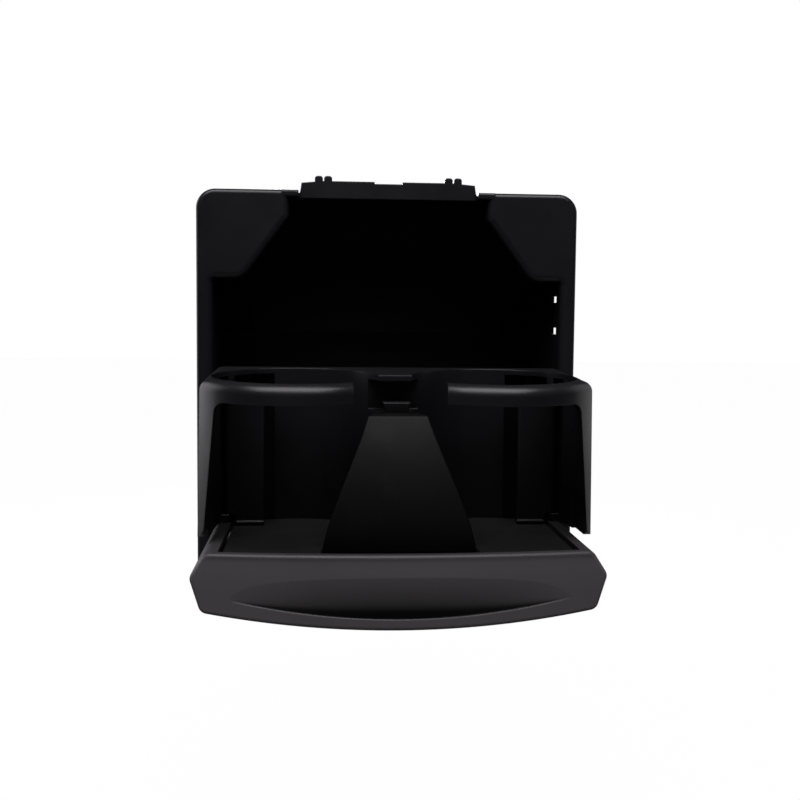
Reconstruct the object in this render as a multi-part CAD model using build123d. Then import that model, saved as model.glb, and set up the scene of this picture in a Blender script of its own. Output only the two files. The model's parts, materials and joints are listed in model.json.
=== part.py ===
# Fold-down twin cup holder for the rear face of a car's centre console.
# A bezel and a pocket stay in the console. A tray with two cup wells hangs on two pins at the
# foot of the pocket. It stands open here, and swings up by a right angle until its crowned
# underside closes the pocket as a door.
# X points right, Y away from the viewer and Z up. The origin lies in the plane where the pocket
# meets the bezel, on the centreline, at the height of the hinge axis. All lengths are in millimetres.

import math
import os

from build123d import *

# Cup wells and the carrier around them
cup_radius = 37.0
cup_pitch = 89.0
cup_reach = 63.0
cup_depth = 73.0
rim_slope = 2.4
rim_land = 3.2
arm_wall = 5.4
arm_height = 8.6
arm_round = 4.8
arm_shift = 3.6
arm_edge = 0.9
arm_gap = 39.5
spine_half = 16.0
deck_thick = 2.6
side_land = 0.6
side_flare = 1.6
side_lift = 2.0
side_tip_round = 9.0
upright_top = 8.0
upright_foot = 3.4
upright_corner = 4.5
carrier_back = 20.0
back_wall = 2.5
well_wall = 2.5

# Centre spine: a bar that carries the deck forwards between the wells, and a nose below it
bar_reach = 61.0
striker_reach = 56.0
recess_back = 46.0
nose_drop = 13.0
nose_half = 6.1
nose_foot_half = 3.6
nose_height = 5.0
nose_back = 65.0
spine_reach = 74.0
spine_roof = 3.0

# Wedge divider in front of the spine
divider_top = 55.0
divider_crest = 0.5
divider_top_depth = 8.0
divider_foot_depth = 24.0
divider_bulge = 3.6
divider_wall = 2.5
divider_edge = 1.6

# Tray floor, mats and hinge barrel
floor_rise = 18.0
mat_thick = 1.2
mat_gap = 0.6
floor_thick = 3.2
floor_slit = 1.0
notch_half = 32.5
notch_reach = 96.5
web_reach = 18.0
web_clear = 1.5
gusset_reach = 45.0
gusset_y = -3.5
gusset_z = 3.2
barrel_radius = 8.0
bore_spare = 0.5
gusset_wall = 2.4
gusset_places = (-33.0, -13.0, 13.0, 33.0)
hinge_back = 3.0

# Outer shell of the tray with the finger scoop
shell_front = 115.0
shell_back = 7.0
shell_bow = 6.0
shell_wall = 2.6
shell_rim_rise = 1.2
shell_rim_tuck = 6.7
shell_rim_width = 5.0
shell_rim_thick = 3.4
shell_waist_drop = 9.0
shell_waist_spare = 0.4
shell_foot_tuck = 4.7
shell_foot_drop = 23.5
shell_belly_drop = 30.0
shell_front_rim = 4.0
shell_heel = 2.0
shell_shoulder = 26.0
shell_heel_round = 4.0
shell_lip_round = 1.5
shell_foot_round = 4.0
shell_waist_round = 4.0
shell_rim_round = 4.0
scoop_half = 77.0
scoop_top_drop = 3.6
scoop_end_drop = 14.6
scoop_belly_drop = 25.0
scoop_depth = 7.5
scoop_hollow = 0.25
scoop_fade = 0.4
scoop_tilt = 16.0
bow_sweep = 24.0

# Bezel and its opening
door_gap = 0.7
bezel_border = 8.0
bezel_thick = 5.0
bezel_corner = 9.5
bezel_round = 2.2
bezel_rear_rim = 2.4
bezel_rear_groove = 2.2
bezel_seat = 0.6
bezel_foot = 9.5
opening_foot = 14.5
opening_corner = 5.0
opening_round = 3.6
shoulder_step = 72.0
shoulder_clear = 1.0
shoulder_angle = 53.8
shoulder_curve = 7.0
shoulder_nose = 3.0
shoulder_rise = 44.2
notch_width = 99.0
top_rim = 3.5
collar_wall = 2.0
collar_depth = 12.0
collar_foot = 32.0
window_height = 3.6
window_depth = 27.0
window_front = 4.0
window_drops = (8.0, 24.5)

# Pocket behind the bezel
pocket_wall = 2.5
pocket_spare = 0.3
pocket_back_gap = 3.0
roof_gap = 3.0
riser_spare = 1.0
riser_bulge = 11.0
tab_half = 44.0
tab_rise = 5.0
tab_notch_half = 7.0
tab_notch = 1.0
tab_slope = 1.2
hook_place = 32.5
hook_pitch = 4.6
hook_half = 2.0
hook_rise = 2.5
hook_depth = 6.0
rib_wall = 1.6
rib_height = 3.0
rib_front = 24.0
rib_places = (-62.0, -30.0, 30.0, 62.0)

# Hinge pins, stop ears and return spring
pin_radius = 2.5
pin_head_radius = 4.2
pin_head = 1.5
pin_inner = 36.0
running_gap = 0.05
seat_gap = 0.02
ear_width = 2.2
ear_depth = 6.0
ear_rise = 22.0
ear_root = 3.6
stop_gap = 0.1
coil_from = 40.0
coil_to = 55.0
coil_radius = 4.1
coil_wire = 0.7
coil_turns = 5.75
coil_leg = 8.0
coil_foot_leg = 12.0
coil_side = 1.5

# Damper: a toothed sector on the tray drives a pinion in a drag of thick grease
sector_teeth = 27
pinion_teeth = 9
gear_module = 0.889
gear_face = 5.0
gear_place = 80.0
gear_angle = 20.0
gear_addendum = 0.8
gear_dedendum = 1.1
gear_root_share = 0.26
gear_tip_share = 0.11
sector_from = 2.0
sector_to = 124.0
damper_radius = 7.2
damper_length = 7.0
damper_flange = 2.0
damper_flange_half = 5.5
damper_screw_span = 22.0
damper_round = 1.0
damper_floor = 1.5
damper_rib = 2.6
damper_shaft = 2.0
pinion_gap = 0.5

# Push latch on the rear wall of the pocket
latch_half = 3.5
latch_travel = 4.0
latch_touch = 0.5
latch_slide_gap = 0.08
latch_wall = 2.2
latch_flange = 2.0
latch_flange_half = 15.0
latch_screw_span = 22.0
latch_foot = 4.0
latch_flare = 1.4
latch_wire = 0.5
latch_turns = 5
latch_coil_radius = 2.6

# Cup grips: sprung flaps in the wells
grip_reach = 43.0
grip_wall = 3.0
grip_free = 59.5
grip_slot = 4.0
grip_pivot = 76.0
grip_barrel = 2.5
grip_foot = 0.6
grip_lip = 1.4
grip_top = 66.0
grip_pin_radius = 1.25
lug_radius = 2.8
lug_height = 3.0
lug_gap = 0.4
lug_clear = 0.7
grip_coil_height = 8.4
grip_coil_wire = 0.35
grip_coil_turns = 5
grip_coil_radius = 1.9
grip_coil_side = 0.8
grip_coil_leg = 7.0

# Fasteners, rubber stops and spring clips
screw_radius = 1.5
screw_head_radius = 3.0
screw_head = 1.6
screw_bite = 8.0
boss_radius = 3.6
carrier_screw_place = 68.0
carrier_screw_reach = 25.5
spine_screw_back = 32.0
spine_screw_inset = 4.0
divider_screw_depth = 12.0
shell_screw_place = 58.0
shell_screw_reaches = (36.0, 92.0)
bezel_screw_high = 82.0
bezel_screw_low = 66.0
bezel_screw_above = 20.0
bezel_screw_below = 5.8
bezel_screw_bite = 3.0
bezel_ear = 2.5
bezel_ear_half = 5.0
stop_place = 72.0
stop_radius = 4.0
stop_reach = 27.0
stop_touch = 0.4
stop_round = 1.0
clip_sheet = 0.6
clip_width = 14.0
clip_rise = 64.0
clip_from = 18.0
clip_length = 30.0
clip_bulge = 2.4
clip_tail = 5.0

# Sizes that follow from the ones above
cup_x = cup_pitch / 2
cup_y = -cup_reach
mat_top = floor_rise
floor_top = mat_top - mat_thick
floor_under = floor_top - floor_thick
carrier_half = cup_x + cup_radius + rim_land
door_half = carrier_half + side_flare
opening_half = door_half + door_gap
bezel_half = opening_half + bezel_border
pocket_half = opening_half + collar_wall + pocket_spare
pocket_outer = pocket_half + pocket_wall
arm_radius = cup_radius + arm_wall
arm_sweep = arm_radius + arm_shift
side_wall = arm_round + side_land
rim_top = mat_top + cup_depth
rim_fall = math.tan(math.radians(rim_slope))
rim_edge_y = -carrier_back


def rim_height(y):
    return rim_top + (y - rim_edge_y) * rim_fall


def arm_front(x):
    # The arms' outer curve is wider than the wells and struck from behind their axes
    return cup_y + arm_shift - math.sqrt(arm_sweep**2 - (x - cup_x) ** 2)


def swing_radius(x):
    return math.hypot(arm_front(x) - hinge_back, rim_height(arm_front(x)))


swing_top = swing_radius(cup_x)
shoulder_foot = swing_radius(shoulder_step) + shoulder_clear
bezel_top = shoulder_foot + shoulder_rise
bezel_bottom = -opening_foot - bezel_foot
notch_edge = notch_width / 2
riser_half = shoulder_step + riser_spare
shoulder_top = shoulder_foot + (shoulder_step - notch_edge) * math.tan(math.radians(shoulder_angle))
pocket_back = hinge_back + rim_top + pocket_back_gap
roof_radius = swing_top + roof_gap
tab_top = bezel_top + tab_rise
shell_top = mat_top + shell_rim_rise
shell_belly = mat_top - shell_belly_drop
shell_waist_half = door_half + shell_waist_spare
shell_foot_half = shell_waist_half - shell_foot_tuck
shell_rim_half = shell_waist_half - shell_rim_tuck
shell_rim_inner = shell_rim_half - shell_rim_width
bow_radius = (shell_rim_half**2 + shell_bow**2) / (2 * shell_bow)
spine_screw_reaches = (spine_screw_back, spine_reach - spine_screw_inset)
divider_screw_reach = spine_reach + divider_screw_depth
divider_top_reach = spine_reach + divider_top_depth
divider_foot_reach = spine_reach + divider_foot_depth
sector_radius = gear_module * sector_teeth / 2
pinion_radius = gear_module * pinion_teeth / 2
gear_span = sector_radius + pinion_radius
pinion_y = hinge_back + gear_span * math.cos(math.radians(gear_angle))
pinion_z = gear_span * math.sin(math.radians(gear_angle))
striker_height = rim_height(-striker_reach)
nose_top = rim_top - nose_drop
spine_top = nose_top - nose_height
latch_rise = hinge_back + striker_reach
latch_tip = hinge_back + striker_height + latch_touch
latch_neck = latch_half + latch_slide_gap + latch_wall
latch_seat = pocket_back + pocket_wall
latch_chamber = latch_half + latch_flare
latch_case = latch_chamber + latch_wall
latch_shoulder = latch_seat + latch_flange + latch_wall
latch_tail = latch_shoulder + latch_foot
latch_end = latch_tail + latch_travel + 2 * latch_wire * (latch_turns + 1) + latch_wall
damper_foot = gear_place - pinion_gap - damper_length - damper_flange
web_half = damper_foot - damper_rib - web_clear
grip_pin_top = rim_top - deck_thick
grip_pivot_y = -grip_reach + grip_barrel
grip_coil_foot = grip_top - grip_coil_height
lug_foot = mat_top + side_lift
lug_top = lug_foot + lug_height
far = 400.0


def polygon(points):
    return make_face(Polyline(*points, close=True))


def rounded(corners):
    # A polygon of (u, v, radius) corners, each with its own fillet
    face = polygon([(u, v) for u, v, _ in corners])
    for u, v, radius in corners:
        if radius > 0:
            corner = face.vertices().sort_by_distance((u, v, 0))[0]
            face = fillet(corner, radius)
    return face


def mirrored(corners):
    # The right half of an outline, followed by its left half
    return corners + [(-u, v, radius) for u, v, radius in reversed(corners)]


def along_x(face, start, end):
    return extrude(Plane.YZ.offset(start) * face, amount=end - start, dir=(1, 0, 0))


def along_y(face, start, end):
    return extrude(Plane.XZ.offset(-end) * face, amount=end - start, dir=(0, -1, 0))


def along_z(face, start, end):
    return extrude(Plane.XY.offset(start) * face, amount=end - start, dir=(0, 0, 1))


def block(x0, x1, y0, y1, z0, z1):
    middle = Pos((x0 + x1) / 2, (y0 + y1) / 2, (z0 + z1) / 2)
    return middle * Box(x1 - x0, y1 - y0, z1 - z0)


def rod_x(radius, y, z, start, end):
    return along_x(Pos(y, z) * Circle(radius), start, end)


def rod_y(radius, x, z, start, end):
    return along_y(Pos(x, z) * Circle(radius), start, end)


def rod_z(radius, x, y, start, end):
    return along_z(Pos(x, y) * Circle(radius), start, end)


def both_sides(part):
    return part + mirror(part, about=Plane.YZ)


def under_rim(low, high):
    # The slanting slab between two depths below the plane of the rims
    near = -far
    slab = polygon(
        [
            (near, rim_height(near) - low),
            (0, rim_height(0) - low),
            (0, rim_height(0) - high),
            (near, rim_height(near) - high),
        ]
    )
    return along_x(slab, -far, far)


def wells(grow, low, high):
    return both_sides(rod_z(cup_radius + grow, cup_x, cup_y, low, high))


def coil(radius, wire, turns, length, lead, tail):
    # A helical wire along Z that starts at the origin's height, with straight ends along its run
    spiral = Helix(pitch=length / turns, height=length, radius=radius)
    start = spiral @ 0 - (spiral % 0) * lead
    path = spiral
    if lead > 0:
        path = Line(start, spiral @ 0) + path
    if tail > 0:
        path += Line(spiral @ 1, spiral @ 1 + (spiral % 1) * tail)
    section = Plane(origin=start, z_dir=spiral % 0) * Circle(wire)
    return sweep(section, path=path)


def screw(length):
    # A pan-head screw along Z, its head below the seat at height zero
    head = Cylinder(screw_head_radius, screw_head, align=(Align.CENTER, Align.CENTER, Align.MAX))
    head = fillet(head.edges().group_by(Axis.Z)[0], screw_head / 3)
    slot = Box(screw_head_radius, screw_head / 2, screw_head)
    head -= Pos(0, 0, -screw_head) * slot
    shank = Cylinder(screw_radius, length, align=(Align.CENTER, Align.CENTER, Align.MIN))
    return head + shank


# Bezel
def bezel_opening():
    above = tab_top + far
    return rounded(
        mirrored(
            [
                (opening_half, -opening_foot, opening_corner),
                (opening_half, shoulder_foot, opening_round / 2),
                (shoulder_step, shoulder_foot, shoulder_curve),
                (notch_edge, shoulder_top, shoulder_nose),
                (notch_edge, above, 0),
            ]
        )
    )


def bezel_outline():
    return rounded(
        mirrored(
            [
                (bezel_half, bezel_bottom, bezel_corner),
                (bezel_half, bezel_top, bezel_corner),
            ]
        )
    )


def side_windows():
    half = window_height / 2
    cut = None
    for drop in window_drops:
        height = shoulder_foot - drop
        hole = block(
            opening_half - door_gap,
            pocket_outer + collar_wall,
            window_front,
            window_front + window_depth,
            height - half,
            height + half,
        )
        cut = hole if cut is None else cut + hole
    return both_sides(cut)


def bezel_screw_spots():
    above = shoulder_foot + bezel_screw_above
    below = -opening_foot - bezel_screw_below
    right = [(bezel_screw_high, above), (bezel_screw_low, below)]
    return right + [(-x, z) for x, z in right]


def on_front(part):
    # Edges in the front plane of the bezel
    return part.edges().filter_by_position(Axis.Y, -bezel_thick - 0.01, -bezel_thick + 0.01)


def on_outline(edge):
    # True for an edge of the bezel's outer border, false for one of its opening
    spot = edge.center()
    beside = abs(spot.X) > opening_half + bezel_border / 2
    below = spot.Z < bezel_bottom + bezel_corner / 3
    above = spot.Z > bezel_top - bezel_corner / 3
    return beside or below or above


def make_bezel():
    outline = bezel_outline()
    opening = bezel_opening()
    plate = along_y(outline - opening, -bezel_thick, 0)
    plate = fillet(on_front(plate).filter_by(on_outline), bezel_round)
    inner = on_front(plate).filter_by(lambda edge: not on_outline(edge))
    inner = inner.filter_by(lambda edge: edge.center().Z < bezel_top - bezel_corner)
    plate = fillet(inner, opening_round)
    groove = offset(outline, -bezel_rear_rim) - offset(opening, collar_wall + bezel_rear_rim)
    plate -= along_y(groove, -bezel_rear_groove, 0)
    for x, z in bezel_screw_spots():
        plate += rod_y(boss_radius, x, z, -bezel_rear_groove, 0)
    for x, z in bezel_screw_spots():
        plate -= rod_y(screw_radius + seat_gap, x, z, -bezel_screw_bite, 0)
    collar = along_y(offset(opening, collar_wall) - opening, 0, collar_depth)
    collar &= block(-far, far, 0, collar_depth, collar_foot, far)
    collar &= along_x(riser_profile(-pocket_spare), -bezel_half, bezel_half)
    strip = block(
        tab_half + door_gap,
        notch_edge + opening_round,
        -bezel_thick,
        0,
        bezel_top - top_rim,
        bezel_top,
    )
    front = strip.edges().filter_by(Axis.X).sort_by(Axis.Y)[0:2]
    strips = both_sides(fillet(front, bezel_round / 2))
    seat = along_y(outline - offset(outline, -bezel_rear_rim), 0, bezel_seat)
    inner = riser_half + pocket_wall + pocket_spare
    seat -= block(-inner, inner, 0, bezel_seat, -far, far)
    edge = bezel_half - bezel_rear_rim / 2
    room = pin_head_radius + pocket_spare
    relief = rod_x(room, hinge_back, 0, pocket_half, edge)
    relief += block(pocket_half, edge, 0, bezel_seat, -room, room)
    return plate + collar + strips + seat - side_windows() - both_sides(relief)


# Pocket
def pocket_profile(grow):
    # Side view of the pocket: level foot, upright rear wall and a roof that follows the tray's swing
    back = pocket_back + grow
    foot = -opening_foot - grow
    radius = roof_radius + grow
    roof_back = math.sqrt(radius**2 - (back - hinge_back) ** 2)
    middle = math.radians(65)
    edges = Polyline((0, radius), (0, foot), (back, foot), (back, roof_back))
    crest = (hinge_back + radius * math.cos(middle), radius * math.sin(middle))
    edges += ThreePointArc((back, roof_back), crest, (hinge_back, radius))
    edges += Line((hinge_back, radius), (0, radius))
    return make_face(edges)


def riser_profile(grow):
    # Side view of the raised middle of the roof, which leads up to the top tab
    top = bezel_top - top_rim + grow
    back = pocket_back + grow
    low = math.sqrt((roof_radius + grow) ** 2 - (back - hinge_back) ** 2)
    middle = (back / 2, (top + low) / 2 + riser_bulge)
    edges = Line((0, 0), (0, top)) + ThreePointArc((0, top), middle, (back, low))
    edges += Polyline((back, low), (back, 0), (0, 0))
    return make_face(edges)


def top_tab():
    # The tab above the bezel, with two snap hooks of two teeth each
    foot = bezel_top - top_rim
    low_top = tab_top - tab_notch
    half = [
        (tab_half + tab_slope, foot, 0),
        (tab_half, bezel_top, 0),
        (tab_half - tab_slope / 2, low_top, 0),
        (hook_place, tab_top, 0),
        (tab_notch_half, tab_top, 0),
        (tab_notch_half, low_top, 0),
    ]
    tab = along_y(rounded(mirrored(half)), 0, pocket_wall)
    barb = polygon(
        [
            (0, foot),
            (0, tab_top + hook_rise),
            (hook_depth, tab_top - hook_rise),
            (pocket_wall, tab_top - hook_depth),
            (pocket_wall, foot),
        ]
    )
    for side in (-1, 1):
        for step in (-0.5, 0.5):
            middle = side * hook_place + step * hook_pitch
            tooth = rounded(
                [
                    (middle - hook_half, foot, 0),
                    (middle + hook_half, foot, 0),
                    (middle + hook_half, tab_top + hook_rise, hook_half * 0.7),
                    (middle - hook_half, tab_top + hook_rise, hook_half * 0.7),
                ]
            )
            profile = along_x(barb, middle - hook_half, middle + hook_half)
            tab += profile & along_y(tooth, 0, hook_depth)
    return tab


def bezel_ears():
    # Ears on the riser and on the foot of the pocket, each with a screw into the bezel
    above = shoulder_foot + bezel_screw_above
    below = -opening_foot - bezel_screw_below
    half = bezel_ear_half
    inner = riser_half + pocket_wall / 2
    outer = bezel_screw_high + boss_radius
    foot = -opening_foot - pocket_wall / 2
    ears = block(inner, outer, 0, bezel_ear, above - half, above + half)
    ears += block(bezel_screw_low - half, bezel_screw_low + half, 0, bezel_ear, below - boss_radius, foot)
    return both_sides(ears)


def damper_bracket():
    high = pinion_z + damper_screw_span / 2 + boss_radius
    return block(
        damper_foot - damper_rib,
        damper_foot,
        pinion_y - damper_flange_half,
        pinion_y + damper_flange_half,
        -opening_foot - pocket_wall / 2,
        high,
    )


def damper_screw_spots():
    return [(pinion_y, pinion_z + side * damper_screw_span / 2) for side in (-1, 1)]


def make_pocket():
    shell = along_x(pocket_profile(pocket_wall), -pocket_outer, pocket_outer)
    shell += along_x(riser_profile(pocket_wall), -riser_half - pocket_wall, riser_half + pocket_wall)
    for x in rib_places:
        rib = along_x(pocket_profile(pocket_wall + rib_height), x - rib_wall / 2, x + rib_wall / 2)
        shell += rib & block(-far, far, rib_front, far, -opening_foot, far)
    shell -= along_x(pocket_profile(0), -pocket_half, pocket_half)
    shell -= along_x(riser_profile(0), -riser_half, riser_half)
    shell += top_tab()
    shell += damper_bracket()
    shell += bezel_ears()
    for x, z in bezel_screw_spots():
        shell -= rod_y(screw_radius + seat_gap, x, z, 0, bezel_ear)
    for y, z in damper_screw_spots():
        shell -= rod_x(screw_radius + seat_gap, y, z, damper_foot - damper_rib, damper_foot)
    for side in (-1, 1):
        ends = sorted((side * (pocket_half - pocket_wall), side * (pocket_outer + pocket_wall)))
        shell -= rod_x(pin_radius + seat_gap, hinge_back, 0, *ends)
    hole = latch_neck + seat_gap
    shell -= block(-hole, hole, pocket_back, far, latch_rise - hole, latch_rise + hole)
    for side in (-1, 1):
        x = side * latch_screw_span / 2
        shell -= rod_y(screw_radius + seat_gap, x, latch_rise, pocket_back, pocket_back + pocket_wall)
    return shell - side_windows()


def make_clip(side):
    # A bowed strip of spring steel on the outside of the pocket's wall
    x = pocket_outer
    middle = clip_from + clip_length / 2
    end = clip_from + clip_length
    flat = x + clip_sheet
    outer = [(flat, clip_from - clip_tail), (flat, clip_from), (x + clip_bulge, middle)]
    outer += [(flat, end), (flat, end + clip_tail)]
    inner = [(px - clip_sheet, py) for px, py in reversed(outer)]
    strip = along_z(polygon(outer + inner), clip_rise - clip_width / 2, clip_rise + clip_width / 2)
    return strip if side > 0 else mirror(strip, about=Plane.YZ)


def make_bezel_screws():
    seat = [Pos(x, bezel_ear, z) for x, z in bezel_screw_spots()]
    return Compound([spot * Rot(90, 0, 0) * screw(bezel_ear + bezel_screw_bite) for spot in seat])


def make_bump_stops():
    y = hinge_back + rim_height(-stop_reach) + stop_touch
    z = hinge_back + stop_reach
    pad = rod_y(stop_radius, stop_place, z, y, pocket_back)
    pad = fillet(pad.edges().group_by(Axis.Y)[0], stop_round)
    return Compound([pad, mirror(pad, about=Plane.YZ)])


# Hinge
def make_hinge_pin(side):
    shaft = rod_x(pin_radius, hinge_back, 0, pin_inner, pocket_outer)
    head = rod_x(pin_head_radius, hinge_back, 0, pocket_outer, pocket_outer + pin_head)
    pin = shaft + fillet(head.edges().group_by(Axis.X)[-1], pin_head / 3)
    return pin if side > 0 else mirror(pin, about=Plane.YZ)


def make_return_spring():
    # A coil round the left pin, with one leg on the tray and one on the foot of the opening
    length = coil_to - coil_from - 2 * coil_side
    wire = coil(coil_radius, coil_wire, coil_turns, length, coil_leg, coil_foot_leg)
    return Pos(-coil_to + coil_side, hinge_back, 0) * Rot(0, 90, 0) * wire


# Damper
def gear_face_outline(radius, teeth, turn):
    # Straight-flanked teeth, slim enough to run with play
    step = 360 / teeth
    tip = radius + gear_addendum * gear_module
    root = radius - gear_dedendum * gear_module
    points = []
    for tooth in range(teeth):
        middle = turn + tooth * step
        flank = [(root, -gear_root_share), (tip, -gear_tip_share)]
        flank += [(reach, -share) for reach, share in reversed(flank)]
        for reach, share in flank:
            angle = math.radians(middle + share * step)
            points.append((reach * math.cos(angle), reach * math.sin(angle)))
    return polygon(points)


def make_sector():
    step = 360 / sector_teeth
    wheel = Pos(hinge_back, 0) * gear_face_outline(sector_radius, sector_teeth, gear_angle + step / 2)
    reach = sector_radius * 2
    count = 6
    fan = [(hinge_back, 0)]
    for index in range(count + 1):
        angle = math.radians(sector_from + (sector_to - sector_from) * index / count)
        fan.append((hinge_back + reach * math.cos(angle), reach * math.sin(angle)))
    return along_x(wheel & polygon(fan), gear_place, gear_place + gear_face)


def make_pinion():
    outline = gear_face_outline(pinion_radius, pinion_teeth, gear_angle + 180)
    wheel = along_x(Pos(pinion_y, pinion_z) * outline, gear_place, gear_place + gear_face)
    end = gear_place - pinion_gap - damper_length + damper_floor
    return wheel + rod_x(damper_shaft, pinion_y, pinion_z, end, gear_place)


def make_damper_body():
    top = gear_place - pinion_gap
    case = rod_x(damper_radius, pinion_y, pinion_z, damper_foot + damper_flange, top)
    case = fillet(case.edges().group_by(Axis.X)[-1], damper_round)
    high = damper_screw_span / 2 + boss_radius
    flange = block(
        damper_foot,
        damper_foot + damper_flange,
        pinion_y - damper_flange_half,
        pinion_y + damper_flange_half,
        pinion_z - high,
        pinion_z + high,
    )
    flange = fillet(flange.edges().filter_by(Axis.X), damper_flange_half / 2)
    body = case + flange
    end = top - damper_length + damper_floor - running_gap
    body -= rod_x(damper_shaft + running_gap, pinion_y, pinion_z, end, top)
    for y, z in damper_screw_spots():
        body -= rod_x(screw_radius + seat_gap, y, z, damper_foot, damper_foot + damper_flange)
    return body


def make_damper_screws():
    seat = damper_foot + damper_flange
    spots = [Pos(seat, y, z) for y, z in damper_screw_spots()]
    return Compound([spot * Rot(0, -90, 0) * screw(damper_flange + damper_rib) for spot in spots])


# Latch
def square_y(half, start, end):
    return block(-half, half, start, end, latch_rise - half, latch_rise + half)


def make_latch_body():
    case = square_y(latch_case, latch_seat + latch_flange, latch_end)
    case = fillet(case.edges().filter_by(Axis.Y), latch_wall / 2)
    flange = block(
        -latch_flange_half,
        latch_flange_half,
        latch_seat,
        latch_seat + latch_flange,
        latch_rise - latch_case,
        latch_rise + latch_case,
    )
    flange = fillet(flange.edges().filter_by(Axis.Y), latch_case / 2)
    body = case + flange + square_y(latch_neck, pocket_back, latch_seat)
    body -= square_y(latch_half + latch_slide_gap, pocket_back, latch_end - latch_wall)
    body -= square_y(latch_chamber, latch_shoulder, latch_end - latch_wall)
    for side in (-1, 1):
        x = side * latch_screw_span / 2
        body -= rod_y(screw_radius + seat_gap, x, latch_rise, latch_seat, latch_seat + latch_flange)
    return body


def make_latch_plunger():
    stem = square_y(latch_half, latch_tip, latch_tail)
    stem = fillet(stem.edges().group_by(Axis.Y)[0], latch_half / 3)
    return stem + square_y(latch_chamber - latch_slide_gap, latch_shoulder + stop_gap, latch_tail)


def make_latch_spring():
    length = latch_end - latch_wall - latch_tail - 2 * latch_wire
    wire = coil(latch_coil_radius, latch_wire, latch_turns, length, 0, 0)
    return Pos(0, latch_tail + latch_wire + length, latch_rise) * Rot(90, 0, 0) * wire


def make_latch_screws():
    seat = latch_seat + latch_flange
    spots = [Pos(side * latch_screw_span / 2, seat, latch_rise) for side in (-1, 1)]
    return Compound([spot * Rot(90, 0, 0) * screw(latch_flange + pocket_wall) for spot in spots])


# Tray
def bow_disc(inset):
    # Plan of everything behind the bowed front, set back by an inset
    return Pos(0, bow_radius - shell_front) * Circle(bow_radius - inset)


def carrier_screw_spots():
    spots = [(side * carrier_screw_place, -carrier_screw_reach) for side in (-1, 1)]
    spots += [(0, -reach) for reach in spine_screw_reaches]
    return spots + [(0, -divider_screw_reach)]


def shell_screw_spots():
    return [(side * shell_screw_place, -reach) for side in (-1, 1) for reach in shell_screw_reaches]


def make_door_tray():
    half = shell_rim_inner - floor_slit
    front = shell_front_rim + floor_slit / 2
    plan = Rectangle(2 * half, 2 * shell_front) & bow_disc(front)
    floor = along_z(plan, floor_under, floor_top)
    floor &= block(-far, far, -far, -web_reach, -far, far)
    floor -= block(-notch_half, notch_half, -far, -notch_reach, -far, far)
    web = polygon(
        [
            (-web_reach, floor_top),
            (hinge_back, barrel_radius),
            (hinge_back, barrel_radius - floor_thick),
            (-web_reach, floor_under),
        ]
    )
    tray = floor + along_x(web, -web_half, web_half)
    gusset = polygon(
        [
            (-gusset_reach, floor_under),
            (-web_reach, floor_under),
            (hinge_back, barrel_radius - floor_thick),
            (gusset_y, gusset_z),
        ]
    )
    for x in gusset_places:
        tray += along_x(gusset, x - gusset_wall / 2, x + gusset_wall / 2)
    tray += rod_x(barrel_radius, hinge_back, 0, -door_half, door_half)
    tray += make_sector()
    ear = block(door_half, door_half + ear_width, stop_gap, ear_depth, ear_root, ear_rise)
    tray += both_sides(ear)
    bay = barrel_radius + floor_thick
    tray -= block(-coil_to, -coil_from, hinge_back - bay, hinge_back + bay, -bay, bay)
    for side in (-1, 1):
        ends = sorted((side * (pin_inner - bore_spare), side * far))
        tray -= rod_x(pin_radius + running_gap, hinge_back, 0, *ends)
    for x, y in carrier_screw_spots():
        tray -= rod_z(screw_radius + seat_gap, x, y, floor_under, floor_top)
    for x, y in shell_screw_spots():
        tray -= rod_z(screw_radius + seat_gap, x, y, floor_under, floor_top)
        tray -= rod_z(screw_head_radius + seat_gap, x, y, floor_top - screw_head, floor_top)
    return tray


def make_mat(side):
    round_plan = Pos(cup_x, cup_y) * Circle(cup_radius - mat_gap)
    inner = notch_half + mat_gap
    outer = shell_rim_inner - floor_slit - mat_gap
    front = Pos((inner + outer) / 2, cup_y - shell_front / 2) * Rectangle(outer - inner, shell_front)
    plan = (round_plan + front) & Pos(outer / 2, cup_y) * Rectangle(outer, 2 * shell_front)
    plan &= bow_disc(shell_front_rim + floor_slit / 2 + mat_gap)
    mat = along_z(plan, floor_top, mat_top)
    return mat if side > 0 else mirror(mat, about=Plane.YZ)


# Outer shell
def shell_outline(inset):
    belly = ThreePointArc(
        (-shell_foot_half, mat_top - shell_foot_drop),
        (0, shell_belly),
        (shell_foot_half, mat_top - shell_foot_drop),
    )
    side = [
        (shell_foot_half, mat_top - shell_foot_drop),
        (shell_waist_half, mat_top - shell_waist_drop),
        (shell_rim_half, shell_top),
    ]
    top = [(-x, z) for x, z in reversed(side)]
    face = make_face(belly + Polyline(*side, *top))
    rounds = (shell_foot_round, shell_waist_round, shell_rim_round)
    for corner, radius in zip(side, rounds):
        for sign in (-1, 1):
            spot = face.vertices().sort_by_distance((sign * corner[0], corner[1], 0))[0]
            face = fillet(spot, radius)
    return offset(face, -inset) if inset > 0 else face


def shell_side():
    # Side view that trims the shell: level except for its heel at the hinge
    slant = (shell_top - shell_heel) / (shell_shoulder - shell_back)
    above = shell_rim_thick
    low = shell_belly - shell_wall
    return rounded(
        [
            (-shell_front - above, low, 0),
            (-shell_back - shell_heel_round, low, 0),
            (-shell_back, low + 2 * shell_heel_round, 0),
            (-shell_back, shell_heel, 0),
            (-shell_shoulder - above / slant, shell_top + above, 0),
            (-shell_front - above, shell_top + above, 0),
        ]
    )


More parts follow.
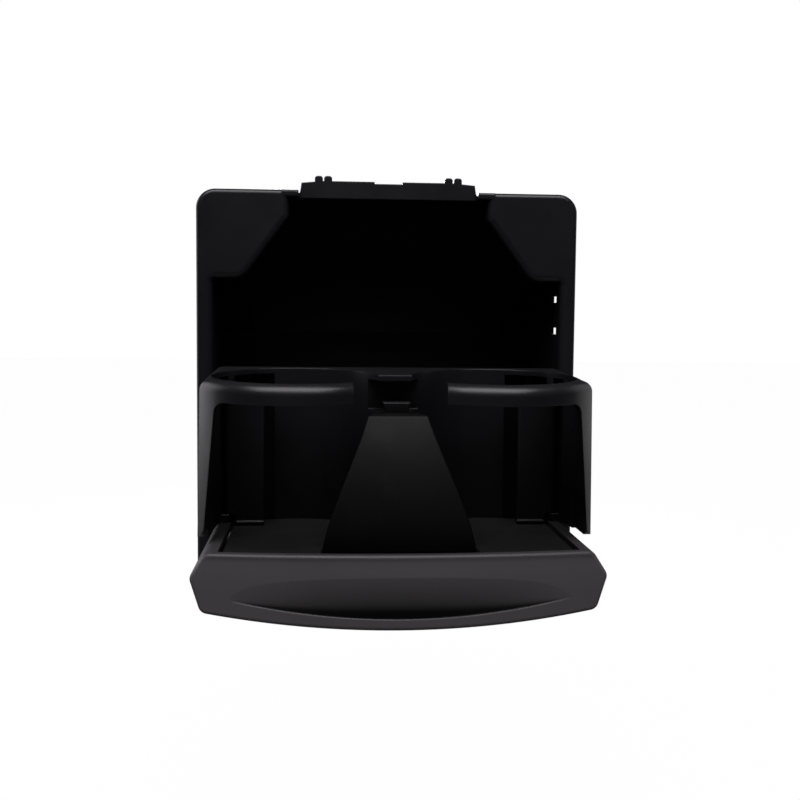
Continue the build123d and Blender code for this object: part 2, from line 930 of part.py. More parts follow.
def bow_cone(top_inset, low_inset):
    # Everything behind a bowed wall whose inset grows from the scoop's top edge downwards
    top = mat_top - scoop_top_drop
    low = mat_top - scoop_belly_drop
    slant = (low_inset - top_inset) / (top - low)
    high = mat_top + shell_waist_drop
    deep = shell_belly - shell_waist_drop
    outline = polygon(
        [
            (0, deep),
            (bow_radius - low_inset - slant * (low - deep), deep),
            (bow_radius - top_inset, top),
            (bow_radius - top_inset, high),
            (0, high),
        ]
    )
    axis = Axis((0, bow_radius - shell_front, 0), (0, 0, 1))
    wedge = Plane.YZ * Pos(bow_radius - shell_front, 0) * mirror(outline, about=Plane.YZ)
    cone = revolve(wedge, axis, revolution_arc=bow_sweep)
    return cone.rotate(axis, -bow_sweep / 2)


def scoop_outline():
    top = mat_top - scoop_top_drop
    end = mat_top - scoop_end_drop
    lower = ThreePointArc((-scoop_half, end), (0, mat_top - scoop_belly_drop), (scoop_half, end))
    upper = Polyline((scoop_half, end), (scoop_half, top), (-scoop_half, top), (-scoop_half, end))
    return make_face(lower + upper)


def scoop_plan(depth):
    # Plan of everything behind the scoop's wall, which runs out into the bowed front at both ends
    end = bow_radius - shell_front - math.sqrt(bow_radius**2 - scoop_half**2) - scoop_fade
    wall = ThreePointArc((-scoop_half, end), (0, depth - shell_front), (scoop_half, end))
    back = Polyline((scoop_half, end), (scoop_half, 0), (-scoop_half, 0), (-scoop_half, end))
    return make_face(wall + back)


def make_scoop():
    # The hollow wall runs from the scoop's brow to its foot, and the cut slopes down behind the lip
    tilt = math.radians(scoop_tilt)
    front = Plane.XZ.offset(shell_front + scoop_fade) * scoop_outline()
    cut = extrude(front, amount=shell_bow + 2 * scoop_depth, dir=(0, math.cos(tilt), -math.sin(tilt)))
    top = mat_top - scoop_top_drop
    brow = Plane.XY.offset(top) * scoop_plan(-scoop_fade)
    waist = Plane.XY.offset((top + shell_belly) / 2) * scoop_plan(scoop_depth * scoop_hollow)
    foot = Plane.XY.offset(shell_belly) * scoop_plan(scoop_depth)
    return cut - loft([foot, waist, brow])


def make_door_shell():
    body = along_y(shell_outline(0), -shell_front - shell_wall, -shell_back + shell_wall)
    body &= along_z(bow_disc(0), -far, far)
    body &= along_x(shell_side(), -far, far)
    fascia = body.faces().sort_by(Axis.Y)[0]
    body = fillet(fascia.edges(), shell_lip_round)
    inside = along_y(shell_outline(shell_wall), -shell_front, -shell_back - shell_wall)
    inside &= block(-far, far, -far, far, -far, shell_top - shell_rim_thick)
    inside &= bow_cone(shell_wall, scoop_depth + shell_wall)
    mouth = Rectangle(2 * shell_rim_inner, 2 * shell_front) & bow_disc(shell_front_rim)
    rim_under = shell_top - shell_rim_thick
    inside += along_z(mouth, rim_under - 1, far) & block(-far, far, -far, -shell_back - shell_wall, 0, far)
    body -= inside
    body -= make_scoop()
    body -= block(-shell_rim_inner, shell_rim_inner, -shell_back - shell_wall - 1, 0, shell_heel, far)
    within = along_y(shell_outline(shell_wall / 2), -far, 0)
    for x, y in shell_screw_spots():
        body += rod_z(boss_radius, x, y, shell_belly, floor_under) & within
        body -= rod_z(screw_radius, x, y, floor_under - screw_bite, floor_under)
    return body


# Cup carrier
def upright_inset(height):
    # Width of the upright at a height, measured in from the leaning flank
    share = (height - lug_foot) / (rim_height(cup_y) - arm_height - lug_foot)
    return upright_foot + (upright_top - upright_foot) * share


def flank_half(height):
    share = (height - lug_foot) / (rim_top - lug_foot)
    return door_half + (carrier_half - door_half) * share


def arm_window():
    # The opening below one arm, whose top follows the slope of the rims
    tilt = math.radians(rim_slope)
    front = cup_y - 2 * arm_sweep
    top = rim_height(front) - arm_height
    low = lug_foot - side_wall
    outline = rounded(
        [
            (0, low, 0),
            (flank_half(low) - upright_inset(low), low, 0),
            (flank_half(top) - upright_inset(top), top, upright_corner),
            (0, top, 0),
        ]
    )
    length = (cup_y - front) / math.cos(tilt)
    return extrude(Plane.XZ.offset(-front) * outline, amount=length, dir=(0, math.cos(tilt), math.sin(tilt)))


def side_tip():
    # What is cut off the lower front corner of a side, to round its tip
    height = lug_foot + side_tip_round
    reach = arm_front(flank_half(height) - upright_inset(height))
    corner = block(0, far, -far, reach + side_tip_round, 0, height)
    return corner - rod_x(side_tip_round, reach + side_tip_round, height, 0, far)


def make_side():
    # The right side: a leaning wall that runs round the well into an upright and an arm
    plan = Pos(cup_x, cup_y + arm_shift) * Circle(arm_sweep) - Pos(cup_x, cup_y) * Circle(cup_radius)
    plan &= Pos(far + arm_gap / 2, cup_y - far) * Rectangle(2 * far, 2 * far)
    front = along_z(plan, lug_foot, rim_top)
    half = carrier_half - side_wall
    rear = block(half, far, cup_y, -carrier_back, lug_foot, rim_top) - wells(0, 0, far)
    slope = polygon([(0, lug_foot), (door_half, lug_foot), (carrier_half, rim_top), (0, rim_top)])
    side = (front + rear) & along_y(slope, -far, 0) & under_rim(far, 0)
    crest = side.faces().sort_by(Axis.Z)[-1]
    outer = crest.edges().filter_by(on_brow)
    side = fillet(outer, arm_round)
    return side - arm_window() - side_tip()


def on_brow(edge):
    # True for a rim edge on the outside of the side wall or of the arm
    spot = edge.position_at(0.5)
    beside = abs(spot.X - carrier_half) < arm_edge
    ahead = abs(math.hypot(spot.X - cup_x, spot.Y - cup_y - arm_shift) - arm_sweep) < arm_edge
    return beside or ahead


def spine_profile():
    bar_under = rim_height(-bar_reach) - deck_thick
    return polygon(
        [
            (-carrier_back, floor_top),
            (-carrier_back, rim_top),
            (-bar_reach, rim_top),
            (-bar_reach, bar_under),
            (-recess_back, bar_under),
            (-recess_back, spine_top),
            (-spine_reach, spine_top),
            (-spine_reach, floor_top),
        ]
    )


def make_spine():
    # A hollow box between the wells, with a tapered nose on its front end
    whole = along_x(spine_profile(), -cup_x, cup_x)
    front = -spine_reach + divider_wall
    back = -carrier_back - back_wall
    roof = spine_top - spine_roof
    bar_under = rim_height(-bar_reach) - deck_thick
    hollow = block(-cup_x, cup_x, front, back, floor_top, roof)
    hollow += block(-cup_x, cup_x, -recess_back + divider_wall, back, floor_top, bar_under)
    solid = whole - (hollow - wells(well_wall, floor_top, bar_under))
    nose = polygon(
        [
            (-nose_half, nose_top),
            (-nose_foot_half, spine_top - spine_roof / 2),
            (nose_foot_half, spine_top - spine_roof / 2),
            (nose_half, nose_top),
        ]
    )
    solid += along_y(nose, -spine_reach, -nose_back)
    for reach in spine_screw_reaches:
        solid += rod_z(boss_radius, 0, -reach, floor_top, rim_top) & whole
    return solid & block(-spine_half, spine_half, -far, far, 0, far)


def make_carrier():
    half = carrier_half - arm_round
    back = -carrier_back
    carrier = block(-half, half, cup_y, back, 0, far) & under_rim(deck_thick, 0)
    carrier += block(-half, half, back - back_wall, back, floor_top, rim_top)
    liner = wells(well_wall, floor_top, rim_top)
    edge = grip_free - grip_slot
    carrier += liner & block(-edge, edge, cup_y, 0, 0, far)
    carrier -= block(-spine_half, spine_half, -far, -recess_back, 0, far)
    carrier += make_spine()
    for x, y in carrier_screw_spots()[:2]:
        carrier += rod_z(boss_radius, x, y, floor_top, rim_top)
    lugs = rod_z(lug_radius, grip_pivot, grip_pivot_y, lug_foot, lug_top)
    lugs += block(
        grip_pivot,
        half,
        grip_pivot_y - lug_radius,
        grip_pivot_y + lug_radius,
        lug_foot,
        lug_top,
    )
    lugs += rod_z(lug_radius, grip_pivot, grip_pivot_y, mat_top + grip_top + lug_gap, rim_top)
    carrier += both_sides(lugs & block(0, half, -far, 0, 0, far))
    carrier &= under_rim(far, 0)
    carrier -= wells(0, 0, far)
    carrier += both_sides(make_side())
    carrier -= both_sides(rod_z(grip_pin_radius + seat_gap, grip_pivot, grip_pivot_y, 0, grip_pin_top))
    for x, y in carrier_screw_spots()[:-1]:
        carrier -= rod_z(screw_radius, x, y, floor_top, floor_top + screw_bite)
    return carrier


def divider_profile(inset):
    # Side view: a crest that slopes forwards, and a bulging face down to the foot
    crest = (-divider_top_reach + inset / 2, mat_top + divider_top - inset)
    foot = (-divider_foot_reach + inset, floor_top)
    back = -spine_reach - inset
    belly = ((crest[0] + foot[0]) / 2 - divider_bulge, (crest[1] + foot[1]) / 2)
    edges = Polyline(foot, (back, floor_top), (back, crest[1] + divider_crest), crest)
    return make_face(edges + ThreePointArc(crest, belly, foot))


def make_divider():
    wedge = along_x(divider_profile(0), -cup_x, cup_x)
    brow = (0, -divider_top_reach, mat_top + divider_top)
    crest = wedge.edges().filter_by(Axis.X).sort_by_distance(brow)[0]
    wedge = fillet(crest, divider_edge)
    wedge -= along_x(divider_profile(divider_wall), -cup_x, cup_x) - wells(divider_wall, 0, far)
    post = floor_top + screw_bite + boss_radius
    wedge += rod_z(boss_radius, 0, -divider_screw_reach, floor_top, post)
    half = divider_wall / 2
    wedge += block(-half, half, -divider_screw_reach, -spine_reach, floor_top, post)
    wedge -= rod_z(screw_radius, 0, -divider_screw_reach, floor_top, floor_top + screw_bite)
    return wedge - wells(0, 0, far)


# Cup grips
def make_grip(side):
    low = mat_top + grip_foot
    high = mat_top + grip_top
    hub = lug_top + lug_gap
    plate = block(grip_free, grip_pivot, -grip_reach, -grip_reach + grip_wall, low, high)
    plate = fillet(plate.edges().filter_by(Axis.Z).group_by(Axis.X)[0], grip_wall / 3)
    plate += block(grip_free, grip_pivot, -grip_reach - grip_lip, -grip_reach, low, low + grip_lip)
    plate -= block(grip_pivot - lug_radius - lug_clear, far, -far, 0, 0, hub)
    flap = plate + rod_z(grip_barrel, grip_pivot, grip_pivot_y, hub, high)
    bay = mat_top + grip_coil_foot
    flap -= block(grip_pivot - grip_barrel - lug_clear, far, -far, 0, bay, far)
    flap -= rod_z(grip_pin_radius + running_gap, grip_pivot, grip_pivot_y, 0, far)
    return flap if side > 0 else mirror(flap, about=Plane.YZ)


def make_grip_pin(side):
    pin = rod_z(grip_pin_radius, grip_pivot, grip_pivot_y, lug_foot, grip_pin_top)
    return pin if side > 0 else mirror(pin, about=Plane.YZ)


def make_grip_spring(side):
    length = grip_coil_height - 2 * grip_coil_side
    foot = mat_top + grip_coil_foot + grip_coil_side
    wire = coil(grip_coil_radius, grip_coil_wire, grip_coil_turns, length, 0, grip_coil_leg)
    spring = Pos(grip_pivot, grip_pivot_y, foot) * wire
    return spring if side > 0 else mirror(spring, about=Plane.YZ)


# Tray screws
def make_carrier_screws():
    spots = [Pos(x, y, floor_under) for x, y in carrier_screw_spots()]
    return Compound([spot * screw(floor_thick + screw_bite) for spot in spots])


def make_shell_screws():
    spots = [Pos(x, y, floor_top - screw_head) for x, y in shell_screw_spots()]
    one = Rot(180, 0, 0) * screw(floor_thick - screw_head + screw_bite)
    return Compound([spot * one for spot in spots])


makers = {
    "bezel_frame": make_bezel,
    "pocket_housing": make_pocket,
    "bezel_screws": make_bezel_screws,
    "side_clip_left": lambda: make_clip(-1),
    "side_clip_right": lambda: make_clip(1),
    "bump_stops": make_bump_stops,
    "hinge_pin_left": lambda: make_hinge_pin(-1),
    "hinge_pin_right": lambda: make_hinge_pin(1),
    "return_spring": make_return_spring,
    "damper_body": make_damper_body,
    "damper_pinion": make_pinion,
    "damper_screws": make_damper_screws,
    "latch_body": make_latch_body,
    "latch_plunger": make_latch_plunger,
    "latch_spring": make_latch_spring,
    "latch_screws": make_latch_screws,
    "door_tray": make_door_tray,
    "door_shell": make_door_shell,
    "cup_carrier": make_carrier,
    "centre_divider": make_divider,
    "cup_mat_left": lambda: make_mat(-1),
    "cup_mat_right": lambda: make_mat(1),
    "cup_grip_left": lambda: make_grip(-1),
    "cup_grip_right": lambda: make_grip(1),
    "grip_pin_left": lambda: make_grip_pin(-1),
    "grip_pin_right": lambda: make_grip_pin(1),
    "grip_spring_left": lambda: make_grip_spring(-1),
    "grip_spring_right": lambda: make_grip_spring(1),
    "carrier_screws": make_carrier_screws,
    "shell_screws": make_shell_screws,
}

os.makedirs("parts", exist_ok=True)
for node, maker in makers.items():
    export_step(maker(), f"parts/{node}.step")
    print("made", node)
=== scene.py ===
import json
import math

import bpy
from mathutils import Matrix, Vector

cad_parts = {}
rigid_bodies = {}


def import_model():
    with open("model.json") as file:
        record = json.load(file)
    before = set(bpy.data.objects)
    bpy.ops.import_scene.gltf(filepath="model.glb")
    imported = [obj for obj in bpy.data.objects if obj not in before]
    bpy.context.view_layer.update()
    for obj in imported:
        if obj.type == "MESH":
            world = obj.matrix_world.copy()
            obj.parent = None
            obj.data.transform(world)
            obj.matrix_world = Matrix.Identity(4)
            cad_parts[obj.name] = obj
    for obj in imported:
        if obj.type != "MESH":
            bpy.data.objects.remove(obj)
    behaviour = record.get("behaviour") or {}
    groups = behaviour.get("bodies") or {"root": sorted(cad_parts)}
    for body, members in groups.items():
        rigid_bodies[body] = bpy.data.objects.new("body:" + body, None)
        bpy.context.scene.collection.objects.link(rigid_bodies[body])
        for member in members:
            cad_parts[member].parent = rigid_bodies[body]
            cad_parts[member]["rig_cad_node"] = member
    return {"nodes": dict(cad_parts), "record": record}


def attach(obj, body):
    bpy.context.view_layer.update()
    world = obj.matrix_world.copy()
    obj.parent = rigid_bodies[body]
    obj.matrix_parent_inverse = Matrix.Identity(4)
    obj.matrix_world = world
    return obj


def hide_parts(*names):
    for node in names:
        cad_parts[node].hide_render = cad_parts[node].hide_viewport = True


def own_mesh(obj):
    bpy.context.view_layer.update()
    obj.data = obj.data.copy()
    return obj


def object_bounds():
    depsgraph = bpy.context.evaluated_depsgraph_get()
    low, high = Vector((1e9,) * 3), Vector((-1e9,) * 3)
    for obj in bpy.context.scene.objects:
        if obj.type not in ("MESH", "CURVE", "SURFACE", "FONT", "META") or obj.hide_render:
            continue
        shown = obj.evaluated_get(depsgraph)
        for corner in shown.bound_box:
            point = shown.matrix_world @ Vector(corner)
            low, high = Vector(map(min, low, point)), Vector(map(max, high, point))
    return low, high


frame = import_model()
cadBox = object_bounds()
nodes = frame["nodes"]
print("frame loaded with", len(nodes), "pieces")

# places of a Mix node's colour sockets, whose names repeat
mixFactor = 0
mixFirst = 6
mixSecond = 7
mixColour = 2


class Flow:
    # one output socket of a node tree; sums on it add Math nodes
    def __init__(self, tree, socket=None):
        self.tree = tree
        self.socket = socket

    def node(self, kind, settings=None, sockets=None, out=0):
        made = self.tree.nodes.new(kind)
        for name, value in (settings or {}).items():
            if name == "stops":
                ramp = made.color_ramp.elements
                ramp[0].position, ramp[0].color = value[0]
                ramp[1].position, ramp[1].color = value[-1]
                for place, colour in value[1:-1]:
                    ramp.new(place).color = colour
            else:
                setattr(made, name, value)
        for name, value in (sockets or {}).items():
            if isinstance(value, Flow):
                self.tree.links.new(value.socket, made.inputs[name])
            else:
                made.inputs[name].default_value = value
        return Flow(self.tree, made.outputs[out] if made.outputs else None)

    def sum(self, operation, first, second):
        return self.node("ShaderNodeMath", {"operation": operation}, {0: first, 1: second})

    def __add__(self, other):
        return self.sum("ADD", self, other)

    def __radd__(self, other):
        return self.sum("ADD", other, self)

    def __sub__(self, other):
        return self.sum("SUBTRACT", self, other)

    def __rsub__(self, other):
        return self.sum("SUBTRACT", other, self)

    def __mul__(self, other):
        return self.sum("MULTIPLY", self, other)

    def __rmul__(self, other):
        return self.sum("MULTIPLY", other, self)

    def clamped(self, low, high):
        # 0 below low, 1 above high
        return self.node(
            "ShaderNodeMapRange",
            {"clamp": True},
            {"Value": self, "From Min": low, "From Max": high},
        )

    def blend(self, first, second):
        # from the first colour to the second as this goes from 0 to 1
        return self.node(
            "ShaderNodeMix",
            {"data_type": "RGBA"},
            {mixFactor: self, mixFirst: first, mixSecond: second},
            mixColour,
        )

    def times(self, other):
        # this colour multiplied by another
        return self.node(
            "ShaderNodeMix",
            {"data_type": "RGBA", "blend_type": "MULTIPLY"},
            {mixFactor: 1.0, mixFirst: self, mixSecond: other},
            mixColour,
        )

    def noise(self, scale, detail, rough=0.5):
        # soft random patches over this place
        return self.node(
            "ShaderNodeTexNoise",
            None,
            {"Vector": self, "Scale": scale, "Detail": detail, "Roughness": rough},
        )


def newMaterial(name):
    material = bpy.data.materials.new(name)
    material.use_nodes = True
    material.node_tree.nodes.clear()
    return material, Flow(material.node_tree)


def closeMaterial(start, shader):
    start.node("ShaderNodeOutputMaterial", None, {"Surface": shader})


def rgba(colour):
    return (*colour, 1.0)


def mouldedPlastic(name, look):
    # pigmented resin with a spark-eroded grain, faint flow marks and rub marks, and painted shade: darker
    # colour in hollows, plus an optional painted shade band by height
    material, start = newMaterial(name)
    place = start.node("ShaderNodeTexCoord", out="Object")
    flowMarks = place.noise(look["flowScale"], look["flowDetail"], look["flowRough"])
    rub = place.noise(look["rubScale"], look["rubDetail"], look["rubRough"])
    grain = place.noise(look["grainScale"], look["grainDetail"])
    pits = start.node(
        "ShaderNodeTexVoronoi",
        {"feature": "SMOOTH_F1"},
        {"Vector": place, "Scale": look["grainScale"] * look["pitScale"], "Smoothness": look["pitSmooth"]},
    )
    shade = flowMarks.clamped(*look["flowSpan"])
    worn = rub.clamped(*look["rubSpan"])
    colour = shade.blend(rgba(look["colour"]), rgba(look["paler"]))
    colour = (worn * look["rubShare"]).blend(colour, rgba(look["rubColour"]))
    if "paintedHeightShade" in look:
        # painted shade by height: the colour darkens strongly along the top rim and a little towards the
        # bottom
        upward = start.node("ShaderNodeSeparateXYZ", None, {"Vector": place}, "Z")
        band = start.node(
            "ShaderNodeValToRGB",
            {"stops": [(share, rgba((level, level, level))) for share, level in look["paintedHeightShade"]]},
            {"Fac": upward.clamped(*look["paintedHeightShadeSpan"])},
        )
        colour = colour.times(band)
    # painted shade: where ambient occlusion is low, in hollows, creases and recesses, the colour darkens
    # towards a near-black shade colour
    paintedShadeMask = start.node(
        "ShaderNodeAmbientOcclusion",
        {"samples": look["paintedShadeSamples"]},
        {"Distance": look["paintedShadeReach"]},
        "AO",
    )
    paintedShadeMask = paintedShadeMask.clamped(look["paintedShadeFull"], look["paintedShadeFrom"])
    colour = paintedShadeMask.blend(rgba(look["paintedShadeColour"]), colour)
    rough = look["roughness"] + (shade - look["midShade"]) * look["roughDrift"] - worn * look["polish"]
    height = grain * look["grainShare"] + pits * look["pitShare"]
    softEdge = start.node("ShaderNodeBevel", {"samples": look["edgeSamples"]}, {"Radius": look["edge"]})
    bump = start.node(
        "ShaderNodeBump",
        None,
        {
            "Height": height,
            "Strength": look["grainStrength"],
            "Distance": look["grainDepth"],
            "Normal": softEdge,
        },
    )
    shader = start.node(
        "ShaderNodeBsdfPrincipled",
        None,
        {
            "Base Color": colour,
            "Roughness": rough,
            "Normal": bump,
            "IOR": look["ior"],
            "Specular IOR Level": look["gloss"],
        },
    )
    closeMaterial(start, shader)
    return material


resin = {
    "flowDetail": 3.0,
    "flowRough": 0.55,
    "flowSpan": (0.3, 0.72),
    "midShade": 0.5,
    "rubDetail": 5.0,
    "rubRough": 0.62,
    "rubSpan": (0.52, 0.78),
    "grainDetail": 2.0,
    "grainShare": 0.6,
    "grainDepth": 0.00006,
    "pitScale": 0.55,  # of the grain's scale
    "pitSmooth": 0.6,
    "pitShare": 0.4,
    "paintedShadeFull": 0.55,
    "paintedShadeSamples": 8,
    "edgeSamples": 4,
}
blackLook = {
    **resin,
    "colour": (0.0096, 0.0092, 0.0114),
    "paler": (0.0112, 0.0108, 0.0132),
    "rubColour": (0.0175, 0.0170, 0.0200),
    # near-black painted shade colour for hollows and recesses
    "paintedShadeColour": (0.0004, 0.0004, 0.0004),
    "paintedShadeReach": 0.05,
    "paintedShadeFrom": 0.95,
    "rubShare": 0.22,
    "roughness": 0.34,
    "roughDrift": 0.07,
    "polish": 0.08,
    "flowScale": 26.0,
    "rubScale": 90.0,
    "grainScale": 2600.0,
    "grainStrength": 0.22,
    "edge": 0.0007,
    "ior": 1.49,
    "gloss": 0.45,
}
doorLook = {
    **resin,
    "colour": (0.108, 0.1020, 0.1065),
    "paler": (0.119, 0.1125, 0.1175),
    "rubColour": (0.142, 0.1345, 0.1390),
    # painted shade band by height: darker top rim, slightly darker bottom
    "paintedHeightShadeSpan": (0.003, 0.0192),
    "paintedHeightShade": [(0.0, 0.88), (0.35, 0.94), (0.62, 1.0), (0.80, 0.95), (0.93, 0.48), (1.0, 0.30)],
    # painted shade colour for the scoop and other hollows
    "paintedShadeColour": (0.006, 0.0056, 0.0054),
    "paintedShadeReach": 0.03,
    "paintedShadeFrom": 1.0,
    "rubShare": 0.20,
    "roughness": 0.50,
    "roughDrift": 0.06,
    "polish": 0.06,
    "flowScale": 18.0,
    "rubScale": 70.0,
    "grainScale": 2200.0,
    "grainStrength": 0.20,
    "edge": 0.0008,
    "ior": 1.50,
    "gloss": 0.5,
}
# painted shade: a darker, duller copy of the black plastic for the divider, which sits in shade
paintedShadeDividerLook = {
    **blackLook,
    "colour": (0.0036, 0.0036, 0.0038),
    "paler": (0.0046, 0.0046, 0.0048),
    "roughness": 0.46,
    "gloss": 0.12,
    "rubShare": 0.30,
}
bezelLook = {
    **blackLook,
    "colour": (0.0078, 0.0075, 0.0094),
    "paler": (0.0092, 0.0089, 0.0110),
    "paintedShadeReach": 0.004,
}
acetalLook = {
    **blackLook,
    "colour": (0.030, 0.030, 0.031),
    "paler": (0.040, 0.040, 0.041),
    "roughness": 0.35,
}


def pebbledRubber(name, look):
    # matt rubber with a dusty bloom and a pebbled skin
    material, start = newMaterial(name)
    place = start.node("ShaderNodeTexCoord", out="Object")
    bloom = place.noise(look["bloomScale"], look["bloomDetail"])
    pebble = start.node("ShaderNodeTexVoronoi", None, {"Vector": place, "Scale": look["pebbleScale"]})
    dust = bloom.clamped(*look["bloomSpan"])
    colour = (dust * look["bloomShare"]).blend(rgba(look["colour"]), rgba(look["bloomColour"]))
    rough = look["roughness"] + dust * look["dustRough"]
    bump = start.node(
        "ShaderNodeBump",
        None,
        {"Height": pebble, "Strength": look["pebbleStrength"], "Distance": look["pebbleDepth"]},
    )
    shader = start.node(
        "ShaderNodeBsdfPrincipled",
        None,
        {
            "Base Color": colour,
            "Roughness": rough,
            "Normal": bump,
            "IOR": look["ior"],
            "Specular IOR Level": look["gloss"],
        },
    )
    closeMaterial(start, shader)
    return material


rubberLook = {
    "colour": (0.0045, 0.0045, 0.0046),
    "bloomColour": (0.010, 0.010, 0.010),
    "bloomShare": 0.35,
    "bloomScale": 60.0,
    "bloomDetail": 4.0,
    "bloomSpan": (0.45, 0.8),
    "roughness": 0.62,
    "dustRough": 0.08,
    "pebbleScale": 1700.0,
    "pebbleStrength": 0.25,
    "pebbleDepth": 0.00008,
    "ior": 1.5,
    "gloss": 0.2,
}


def platedMetal(name, look):
    # plated or drawn metal with fine draw lines and dull stains
    material, start = newMaterial(name)
    place = start.node("ShaderNodeTexCoord", out="Object")
    stretched = start.node("ShaderNodeMapping", None, {"Vector": place, "Scale": look["drawScale"]})
    lines = stretched.noise(look["lineScale"], look["lineDetail"])
    stain = place.noise(look["stainScale"], look["stainDetail"])
    dull = stain.clamped(*look["stainSpan"])
    colour = dull.blend(rgba(look["colour"]), rgba(look["dullColour"]))
    rough = look["roughness"] + lines * look["lineRough"] + dull * look["dullRough"]
    bump = start.node(
        "ShaderNodeBump",
        None,
        {"Height": lines, "Strength": look["lineStrength"], "Distance": look["lineDepth"]},
    )
    shader = start.node(
        "ShaderNodeBsdfPrincipled",
        None,
        {"Base Color": colour, "Roughness": rough, "Metallic": look["metal"], "Normal": bump},
    )
    closeMaterial(start, shader)
    return material


drawnMetal = {
    "metal": 1.0,
    "lineScale": 1.0,
    "lineDetail": 3.0,
    "lineRough": 0.12,
    "lineStrength": 0.15,
    "lineDepth": 0.00003,
    "stainDetail": 4.0,
    "stainSpan": (0.42, 0.7),
    "dullRough": 0.12,
}
zincLook = {
    **drawnMetal,
    "colour": (0.50, 0.50, 0.51),
    "dullColour": (0.34, 0.34, 0.36),
    "roughness": 0.30,
    "drawScale": (900.0, 900.0, 900.0),
    "stainScale": 380.0,
}
springLook = {
    **drawnMetal,
    "colour": (0.075, 0.075, 0.08),
    "dullColour": (0.045, 0.045, 0.048),
    "roughness": 0.42,
    "drawScale": (1500.0, 300.0, 1500.0),
    "stainScale": 240.0,
}

finishes = {
    "black_plastic": mouldedPlastic("blackPlastic", blackLook),
    "door_plastic": mouldedPlastic("doorPlastic", doorLook),
    "acetal": mouldedPlastic("acetal", acetalLook),
    "rubber": pebbledRubber("rubber", rubberLook),
    "zinc": platedMetal("zincPlate", zincLook),
    "spring_steel": platedMetal("springSteel", springLook),
}
ownFinish = {
    "bezel_frame": mouldedPlastic("bezelPlastic", bezelLook),
    "centre_divider": mouldedPlastic("dividerPaintedShade", paintedShadeDividerLook),
}
for piece in frame["record"]["subparts"]:
    node = nodes[piece["node"]]
    node.data.materials.clear()
    node.data.materials.append(ownFinish.get(piece["node"], finishes[piece["material_slot"]]))
print("finishes on", len(nodes), "pieces")


latchCoil = {
    "node": "latch_spring",
    "joint": "latch_push",
    "travel": 0.004,
    "weld": 0.000001,
    "crease": 40.0,
}


def closingCoil(look):
    # a welded, smooth-shaded copy of the latch spring takes the CAD spring's place on the housing
    coil = nodes[look["node"]]
    bpy.ops.object.select_all(action="DESELECT")
    coil.select_set(True)
    bpy.context.view_layer.objects.active = coil
    bpy.ops.object.duplicate()
    piece = bpy.context.object
    piece.name = "latchCoil"
    del piece["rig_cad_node"]
    bpy.ops.object.mode_set(mode="EDIT")
    bpy.ops.mesh.select_all(action="SELECT")
    bpy.ops.mesh.remove_doubles(threshold=look["weld"])
    bpy.ops.object.mode_set(mode="OBJECT")
    bpy.ops.object.shade_smooth_by_angle(angle=math.radians(look["crease"]))
    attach(piece, "housing")
    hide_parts(look["node"])
    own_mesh(piece)


closingCoil(latchCoil)


studio = {
    "floorDrop": 0.10,
    "floorSize": 6.0,
    "floorFront": -0.40,
    "glow": (1.0, 1.0, 1.0),
    "white": 1.0,
    "fill": 0.02,
    "cover": 0.985,
    "sheen": 0.16,
    "paint": (0.86, 0.86, 0.86),
    "bounce": (0.06, 0.06, 0.06),
    "tint": (1.0, 0.97, 1.0),
}


def whiteFloor(name):
    # white to the eye with a little of the shadow left in, and dim to gloss and bounced light
    material, start = newMaterial(name)
    eye = start.node("ShaderNodeLightPath", out="Is Camera Ray")
    gloss = start.node("ShaderNodeLightPath", out="Is Glossy Ray")
    paint = eye.blend(rgba(studio["bounce"]), rgba(studio["paint"]))
    matt = start.node("ShaderNodeBsdfDiffuse", None, {"Color": paint})
    glow = start.node(
        "ShaderNodeEmission",
        None,
        {"Color": rgba(studio["glow"]), "Strength": studio["white"]},
    )
    shown = eye * studio["cover"] + gloss * studio["sheen"]
    mixed = start.node("ShaderNodeMixShader", None, {0: shown, 1: matt, 2: glow})
    closeMaterial(start, mixed)
    return material


bpy.ops.object.select_all(action="DESELECT")
middle = studio["floorFront"] + studio["floorSize"] / 2
lowest = cadBox[0].z - studio["floorDrop"]
bpy.ops.mesh.primitive_plane_add(size=studio["floorSize"], location=(0, middle, lowest))
floor = bpy.context.object
floor.name = "floor"
floor.data.materials.append(whiteFloor("floorWhite"))

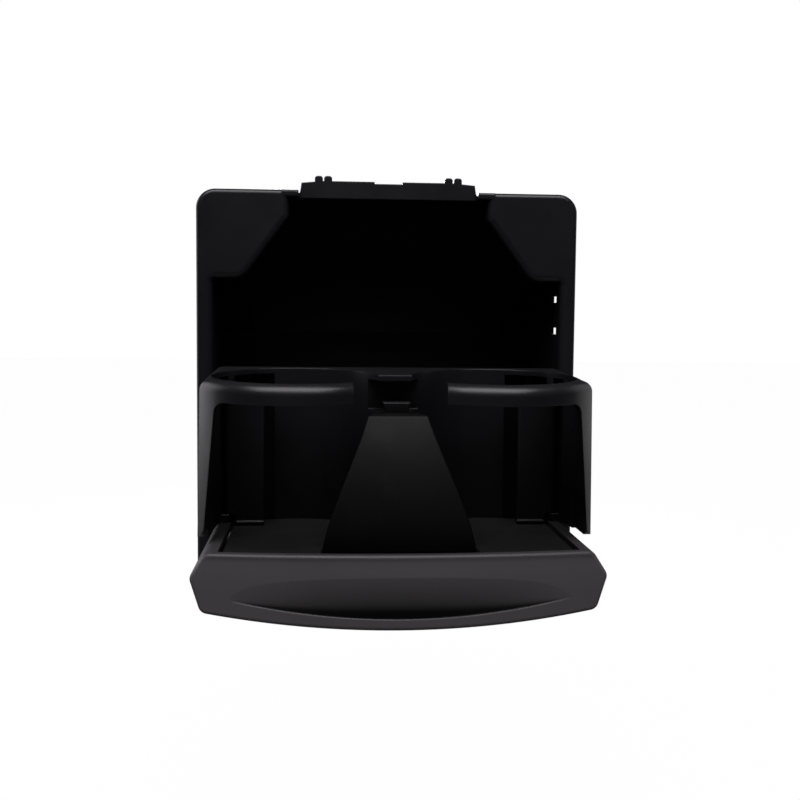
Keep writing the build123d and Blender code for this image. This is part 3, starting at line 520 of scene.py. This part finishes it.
world = bpy.data.worlds.new("studio")
bpy.context.scene.world = world
world.use_nodes = True
world.node_tree.nodes.clear()
sky = Flow(world.node_tree)
eye = sky.node("ShaderNodeLightPath", out="Is Camera Ray")
level = eye * (studio["white"] - studio["fill"]) + studio["fill"]
backdrop = sky.node("ShaderNodeBackground", None, {"Color": rgba(studio["glow"]), "Strength": level})
sky.node("ShaderNodeOutputWorld", None, {"Surface": backdrop})


lamps = {
    "topBox": {
        "place": (-0.05, -0.46, 0.90),
        "target": (0, -0.08, 0.05),
        "size": (1.1, 0.7),
        "power": 11.0,
    },
    "leftBox": {
        "place": (-1.00, 0.45, 0.35),
        "target": (0, -0.05, 0.06),
        "size": (0.8, 0.9),
        "power": 3.4,
    },
    "rightBox": {
        "place": (1.00, 0.45, 0.35),
        "target": (0, -0.05, 0.06),
        "size": (0.8, 0.9),
        "power": 1.1,
    },
    "rearBox": {
        "place": (0, 0.90, 0.35),
        "target": (0, 0.10, 0.08),
        "size": (0.18, 0.5),  # narrow, so that the border shades the front from it
        "power": 6.5,
    },
}


def softBox(name, lamp):
    bpy.ops.object.light_add(type="AREA", location=lamp["place"])
    light = bpy.context.object
    light.name = name
    light.data.shape = "RECTANGLE"
    light.data.size, light.data.size_y = lamp["size"]
    light.data.energy = lamp["power"]
    light.data.color = studio["tint"]
    light.visible_camera = False
    aim = Vector(lamp["target"]) - Vector(lamp["place"])
    light.rotation_euler = aim.to_track_quat("-Z", "Y").to_euler()


for name, lamp in lamps.items():
    softBox(name, lamp)
print("studio lit")


view = {
    "place": (-0.03267, -0.53906, 0.11464),
    "yaw": 4.175,
    "pitch": 4.345,
    "roll": 0.541,
    "lens": 48.02,
    "sensor": 36.0,
}
bpy.ops.object.camera_add(location=view["place"])
camera = bpy.context.object
camera.data.lens = view["lens"]
camera.data.sensor_width = view["sensor"]
turn = Matrix.Rotation(math.radians(-view["yaw"]), 4, "Z")
turn = turn @ Matrix.Rotation(math.radians(90 - view["pitch"]), 4, "X")
turn = turn @ Matrix.Rotation(math.radians(view["roll"]), 4, "Z")
camera.rotation_euler = turn.to_euler()
bpy.context.scene.camera = camera
bpy.context.scene.view_settings.view_transform = "Standard"
print("camera set")
